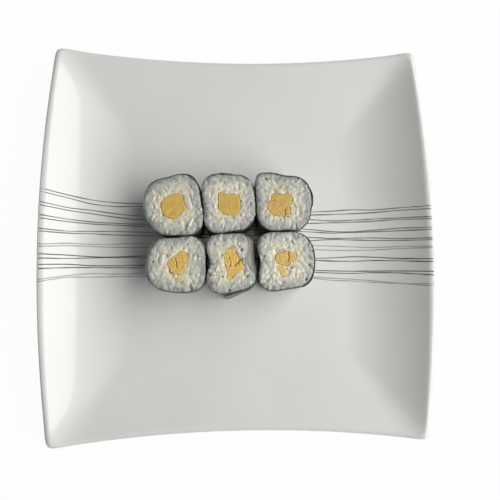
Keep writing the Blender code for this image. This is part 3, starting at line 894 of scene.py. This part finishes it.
def build_packed_rice(index, press, hollows, low, top, material):
    """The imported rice: grains pressed together under the knife, in one skin."""
    rng = np.random.default_rng(SEED + index)
    roll = ROLLS[index]
    spots = scatter_grains(rng, roll, hollows, PACKED_GRAINS, PACKED_SPACING)
    count = len(spots)
    places = np.column_stack([spots, top - rng.uniform(0.75, 1.5, count)])
    yaws = rng.uniform(0, 2 * math.pi, count)
    pitches = rng.normal(0, 0.35, count)
    cloud, faces, _ = grain_cloud(rng, places, grain_sizes(rng, count), yaws, pitches)
    cloud = press_into(cloud, index, press, hollows, top, PACKED_KEPT)
    tube, tube_sides = rice_tube(index, press, hollows, top - CAP_DEPTH, top - CREASE_DEPTH, top, 1.0)
    faces = tube_sides + [tuple(v + len(tube) for v in face) for face in faces]
    cap, cap_faces = skinned(np.concatenate([tube, cloud]), faces)
    tree = KDTree(3 * count)
    ways = np.column_stack([np.cos(yaws), np.sin(yaws), 0 * yaws]) * GRAIN["length"] * 0.3
    for k in range(count):
        for step in (-1, 0, 1):
            tree.insert(places[k] + step * ways[k], k)
    tree.balance()
    owners = np.array([tree.find(point)[1] for point in cap])
    tone = rng.uniform(0.88, 1.06, count)
    warmth = 1.0 + np.outer(rng.uniform(-0.5, 1.0, count), (0.012, 0.0, -0.05))
    tints = (tone[:, None] * warmth)[owners]
    sink_spots(cap, index, top)
    cap[:, 2] += 0.03 * ripple(cap[:, 0], cap[:, 1], SEED + 51 + index, 0.9)
    base, base_faces = rice_tube(index, press, hollows, low, top - CAP_DEPTH + 0.5, top, 0.0)
    points = np.concatenate([cap, base])
    faces = cap_faces + [tuple(v + len(cap) for v in face) for face in base_faces]
    tints = np.concatenate([tints, np.full((len(base), 3), 0.95)])
    shades = rice_colours(points, index, press, hollows, top, tints)
    points[:, :2] += roll["middle"]
    name = f"roll_{index + 1}"
    return make_piece(f"{name}_rice_packed", points, faces, material, [f"{name}_rice"],
                      shades=shades)


def build_loose_rice(index, press, hollows, top, material):
    """Whole grains that lie on the cut face or stand out of it."""
    rng = np.random.default_rng(SEED + 70 + index)
    roll = ROLLS[index]
    seen = SEEN_GRAINS[index]
    spots = [np.array(grain[:2]) for grain in seen]
    more = scatter_grains(rng, roll, hollows, LOOSE_GRAINS, LOOSE_SPACING, spots)
    count = len(seen) + len(more)
    sizes = grain_sizes(rng, count)
    sizes[:len(seen), 0] = [grain[2] for grain in seen]
    sizes[:len(seen), 1] = [grain[3] for grain in seen]
    depth = 0.5 * sizes[:, 2] - np.where(np.arange(count) < len(seen), 0.35, 0.15)
    places = np.column_stack([np.concatenate([spots, more]), top - depth])
    yaws = rng.uniform(0, 2 * math.pi, count)
    yaws[:len(seen)] = [math.radians(grain[4]) for grain in seen]
    pitches = rng.normal(0, 0.12, count)
    cloud, faces, per_grain = grain_cloud(rng, places, sizes, yaws, pitches)
    cloud = press_into(cloud, index, press, hollows, top, LOOSE_KEPT)
    shades = rice_colours(cloud, index, press, hollows, top, np.ones((len(cloud), 3)))
    for k, grain in enumerate(seen):
        part = slice(k * per_grain, (k + 1) * per_grain)
        tint = np.array(GRAIN_TINTS[grain[5]])
        shades[part] = (1.0 - SEEN_SHARE) * shades[part] + SEEN_SHARE * tint
    cloud[:, :2] += roll["middle"]
    name = f"roll_{index + 1}"
    return make_piece(f"{name}_rice_loose", cloud, faces, material, [f"{name}_rice"],
                      shades=shades)


# ---------------------------------------------------------------- materials

def new_material(name, colour, roughness):
    material = bpy.data.materials.new(name)
    material.use_nodes = True
    tree = material.node_tree
    shader = tree.nodes["Principled BSDF"]
    shader.inputs["Base Color"].default_value = (*colour, 1.0)
    shader.inputs["Roughness"].default_value = roughness
    return material, tree, shader


def add_node(tree, kind, settings=None, **inputs):
    node = tree.nodes.new(kind)
    for key, value in (settings or {}).items():
        setattr(node, key, value)
    for key, value in inputs.items():
        socket = node.inputs[key.replace("_", " ")]
        if isinstance(value, bpy.types.NodeSocket):
            tree.links.new(value, socket)
        else:
            socket.default_value = value
    return node


def noise_of(tree, scale, detail=4.0, roughness=0.55):
    where = add_node(tree, "ShaderNodeTexCoord").outputs["Object"]
    return add_node(tree, "ShaderNodeTexNoise", Vector=where, Scale=scale, Detail=detail,
                    Roughness=roughness)


def ramp_of(tree, factor, stops):
    ramp = add_node(tree, "ShaderNodeValToRGB", Fac=factor)
    elements = ramp.color_ramp.elements
    while len(elements) < len(stops):
        elements.new(0.5)
    for element, (position, colour) in zip(elements, stops):
        element.position = position
        element.color = (*colour, 1.0)
    return ramp.outputs["Color"]


def multiplied(tree, first, second):
    """Two colours multiplied."""
    node = tree.nodes.new("ShaderNodeMix")
    node.data_type = "RGBA"
    node.blend_type = "MULTIPLY"
    node.inputs[0].default_value = 1.0
    tree.links.new(first, node.inputs[6])
    tree.links.new(second, node.inputs[7])
    return node.outputs[2]


def bump_of(tree, height, distance):
    return add_node(tree, "ShaderNodeBump", Distance=distance, Height=height).outputs["Normal"]


def glaze_material(name, colour, uneven=0.00004):
    """Fired glaze: glossy, very slightly wavy, with faint clouds in its white."""
    material, tree, shader = new_material(name, colour, 0.10)
    clouds = noise_of(tree, 22.0, 3.0)
    pale = tuple(min(c * 1.02, 1.0) for c in colour)
    dull = tuple(c * 0.97 for c in colour)
    colours = ramp_of(tree, clouds.outputs["Fac"], ((0.3, dull), (0.7, pale)))
    tree.links.new(colours, shader.inputs["Base Color"])
    waves = noise_of(tree, 55.0, 2.0)
    tree.links.new(bump_of(tree, waves.outputs["Fac"], uneven), shader.inputs["Normal"])
    rough = add_node(tree, "ShaderNodeMapRange", Value=clouds.outputs["Fac"])
    rough.inputs["To Min"].default_value = 0.07
    rough.inputs["To Max"].default_value = 0.14
    tree.links.new(rough.outputs["Result"], shader.inputs["Roughness"])
    shader.inputs["IOR"].default_value = 1.5
    return material


def nori_material():
    """Damp dried seaweed: grey-green and mottled, lighter than real nori as painted sheen, and faintly
    glossy.
    """
    material, tree, shader = new_material("nori", (0.07, 0.08, 0.07), 0.45)
    mottle = noise_of(tree, 420.0, 6.0, 0.7)
    # These greens are lighter than real nori: painted sheen.
    stops = ((0.3, (0.08, 0.09, 0.078)), (0.55, (0.135, 0.15, 0.13)), (0.8, (0.20, 0.218, 0.192)))
    painted = add_node(tree, "ShaderNodeAttribute", {"attribute_name": "shade"})
    mottled = ramp_of(tree, mottle.outputs["Fac"], stops)
    colour = multiplied(tree, painted.outputs["Color"], mottled)
    tree.links.new(colour, shader.inputs["Base Color"])
    fibres = noise_of(tree, 1500.0, 5.0, 0.7)
    tree.links.new(bump_of(tree, fibres.outputs["Fac"], 0.00012), shader.inputs["Normal"])
    return material


def shaded_colour(tree, scale, dull, bright):
    """The piece's own painted colour, broken up by fine clouds."""
    painted = add_node(tree, "ShaderNodeAttribute", {"attribute_name": "shade"})
    cloud = noise_of(tree, scale, 4.0)
    clouds = ramp_of(tree, cloud.outputs["Fac"], ((0.32, dull), (0.66, bright)))
    return multiplied(tree, painted.outputs["Color"], clouds)


def rice_material():
    """Moist cooked rice: soft, slightly translucent and faintly glossy."""
    material, tree, shader = new_material("rice", (0.7, 0.7, 0.64), 0.36)
    colour = shaded_colour(tree, 420.0, (0.90, 0.91, 0.92), (1.0, 1.0, 1.0))
    tree.links.new(colour, shader.inputs["Base Color"])
    grit = noise_of(tree, 900.0, 4.0)
    tree.links.new(bump_of(tree, grit.outputs["Fac"], 0.0001), shader.inputs["Normal"])
    shader.inputs["Subsurface Weight"].default_value = 0.6
    shader.inputs["Subsurface Radius"].default_value = (1.0, 0.95, 0.85)
    shader.inputs["Subsurface Scale"].default_value = 0.0011
    shader.inputs["Coat Weight"].default_value = 0.1
    shader.inputs["Coat Roughness"].default_value = 0.25
    return material


def egg_material():
    """Cooked egg: moist yellow, with fine clouds and pores."""
    material, tree, shader = new_material("egg", (0.61, 0.40, 0.105), 0.4)
    colour = shaded_colour(tree, 330.0, (0.95, 0.93, 0.86), (1.03, 1.03, 1.06))
    tree.links.new(colour, shader.inputs["Base Color"])
    pores = noise_of(tree, 1100.0, 5.0, 0.65)
    tree.links.new(bump_of(tree, pores.outputs["Fac"], 0.00008), shader.inputs["Normal"])
    shader.inputs["Subsurface Weight"].default_value = 0.25
    shader.inputs["Subsurface Radius"].default_value = (1.0, 0.6, 0.2)
    shader.inputs["Subsurface Scale"].default_value = 0.0008
    return material


# ---------------------------------------------------------------- stage

# Ambient light from the dark side to the window side, and the direction where it begins.
AMBIENT = (0.0, 0.20)
AMBIENT_START = -0.25
FLOOR_GLOW = 0.97
FLOOR_SIZE = 4.0
WINDOW = dict(place=(0.55, -0.05, 0.80), width=1.4, height=1.1, power=17.5)
CAMERA = dict(place=(-0.00675, -0.02852, 0.27809), turn=(0.08887, -0.0466, -0.0101), lens=35.28)


def seen_directly(tree):
    """One for camera, glossy and transmission rays, and nothing for light on the object."""
    path = add_node(tree, "ShaderNodeLightPath")
    found = path.outputs["Is Camera Ray"]
    for kind in ("Is Glossy Ray", "Is Transmission Ray"):
        either = add_node(tree, "ShaderNodeMath", {"operation": "MAXIMUM"})
        tree.links.new(found, either.inputs[0])
        tree.links.new(path.outputs[kind], either.inputs[1])
        found = either.outputs[0]
    return found


def build_floor():
    """A pale floor that shows white and keeps a soft trace of the plate's shadow."""
    mesh = bpy.data.meshes.new("floor")
    corners = [(-FLOOR_SIZE, -FLOOR_SIZE, 0), (FLOOR_SIZE, -FLOOR_SIZE, 0),
               (FLOOR_SIZE, FLOOR_SIZE, 0), (-FLOOR_SIZE, FLOOR_SIZE, 0)]
    mesh.from_pydata(corners, [], [(0, 1, 2, 3)])
    floor = bpy.data.objects.new("floor", mesh)
    bpy.context.scene.collection.objects.link(floor)
    floor.location.z = CAD_BOX[0][2] - 0.0002
    material, tree, shader = new_material("floor", (0.82, 0.82, 0.82), 0.8)
    glow = add_node(tree, "ShaderNodeEmission", Color=(1, 1, 1, 1), Strength=1.0)
    share = add_node(tree, "ShaderNodeMath", {"operation": "MULTIPLY"})
    tree.links.new(seen_directly(tree), share.inputs[0])
    share.inputs[1].default_value = FLOOR_GLOW
    mix = tree.nodes.new("ShaderNodeMixShader")
    tree.links.new(share.outputs[0], mix.inputs["Fac"])
    tree.links.new(shader.outputs[0], mix.inputs[1])
    tree.links.new(glow.outputs[0], mix.inputs[2])
    tree.links.new(mix.outputs[0], tree.nodes["Material Output"].inputs["Surface"])
    mesh.materials.append(material)


def build_world():
    """Soft daylight that falls off towards the side away from the window, seen as white."""
    world = bpy.data.worlds.new("daylight")
    bpy.context.scene.world = world
    world.use_nodes = True
    tree = world.node_tree
    light = tree.nodes["Background"]
    light.inputs["Color"].default_value = (0.97, 1.0, 0.98, 1.0)
    where = add_node(tree, "ShaderNodeTexCoord")
    axes = add_node(tree, "ShaderNodeSeparateXYZ", Vector=where.outputs["Generated"])
    level = add_node(tree, "ShaderNodeMapRange", Value=axes.outputs["X"])
    level.inputs["From Min"].default_value = AMBIENT_START
    level.inputs["To Min"].default_value = AMBIENT[0]
    level.inputs["To Max"].default_value = AMBIENT[1]
    tree.links.new(level.outputs["Result"], light.inputs["Strength"])
    white = add_node(tree, "ShaderNodeBackground", Color=(1, 1, 1, 1), Strength=1.0)
    mix = tree.nodes.new("ShaderNodeMixShader")
    tree.links.new(seen_directly(tree), mix.inputs["Fac"])
    tree.links.new(light.outputs[0], mix.inputs[1])
    tree.links.new(white.outputs[0], mix.inputs[2])
    tree.links.new(mix.outputs[0], tree.nodes["World Output"].inputs["Surface"])


def build_window():
    """A large window on the right, standing upright."""
    lamp = bpy.data.lights.new("window", "AREA")
    lamp.shape = "RECTANGLE"
    lamp.size = WINDOW["width"]
    lamp.size_y = WINDOW["height"]
    lamp.energy = WINDOW["power"]
    lamp.color = (1.0, 0.99, 0.96)
    window = bpy.data.objects.new("window", lamp)
    bpy.context.scene.collection.objects.link(window)
    window.location = WINDOW["place"]
    window.rotation_euler = (math.radians(90), 0.0, math.radians(90))


def build_camera():
    camera = bpy.data.cameras.new("camera")
    camera.lens = CAMERA["lens"]
    camera.sensor_width = 36.0
    camera.clip_start = 0.01
    holder = bpy.data.objects.new("camera", camera)
    bpy.context.scene.collection.objects.link(holder)
    holder.location = CAMERA["place"]
    holder.rotation_euler = CAMERA["turn"]
    bpy.context.scene.camera = holder


# ---------------------------------------------------------------- build

def main():
    bpy.context.scene.view_settings.view_transform = "Standard"
    build_camera()
    build_window()
    build_world()
    build_floor()
    build_plate(glaze_material("glaze", (0.80, 0.81, 0.80)))
    build_lines({tone: glaze_material(f"print_{tone}", colour) for tone, colour in LINE_TONES.items()})
    nori = nori_material()
    rice = rice_material()
    egg = egg_material()
    ground = PLATE["flat_top"] + STAND_OFF
    for index, roll in enumerate(ROLLS):
        top = node_height(f"roll_{index + 1}_rice")[1]
        press = crowding(index)
        build_nori(index, roll, press, ground, top, nori)
        hollows = []
        for name, (owner, corners) in EGGS.items():
            if owner != index:
                continue
            build_egg(name, roll, corners, ground, top, egg)
            hollows.append((centre_of(corners), reach_of(corners)))
        build_packed_rice(index, press, hollows, ground, top, rice)
        build_loose_rice(index, press, hollows, top, rice)


main()
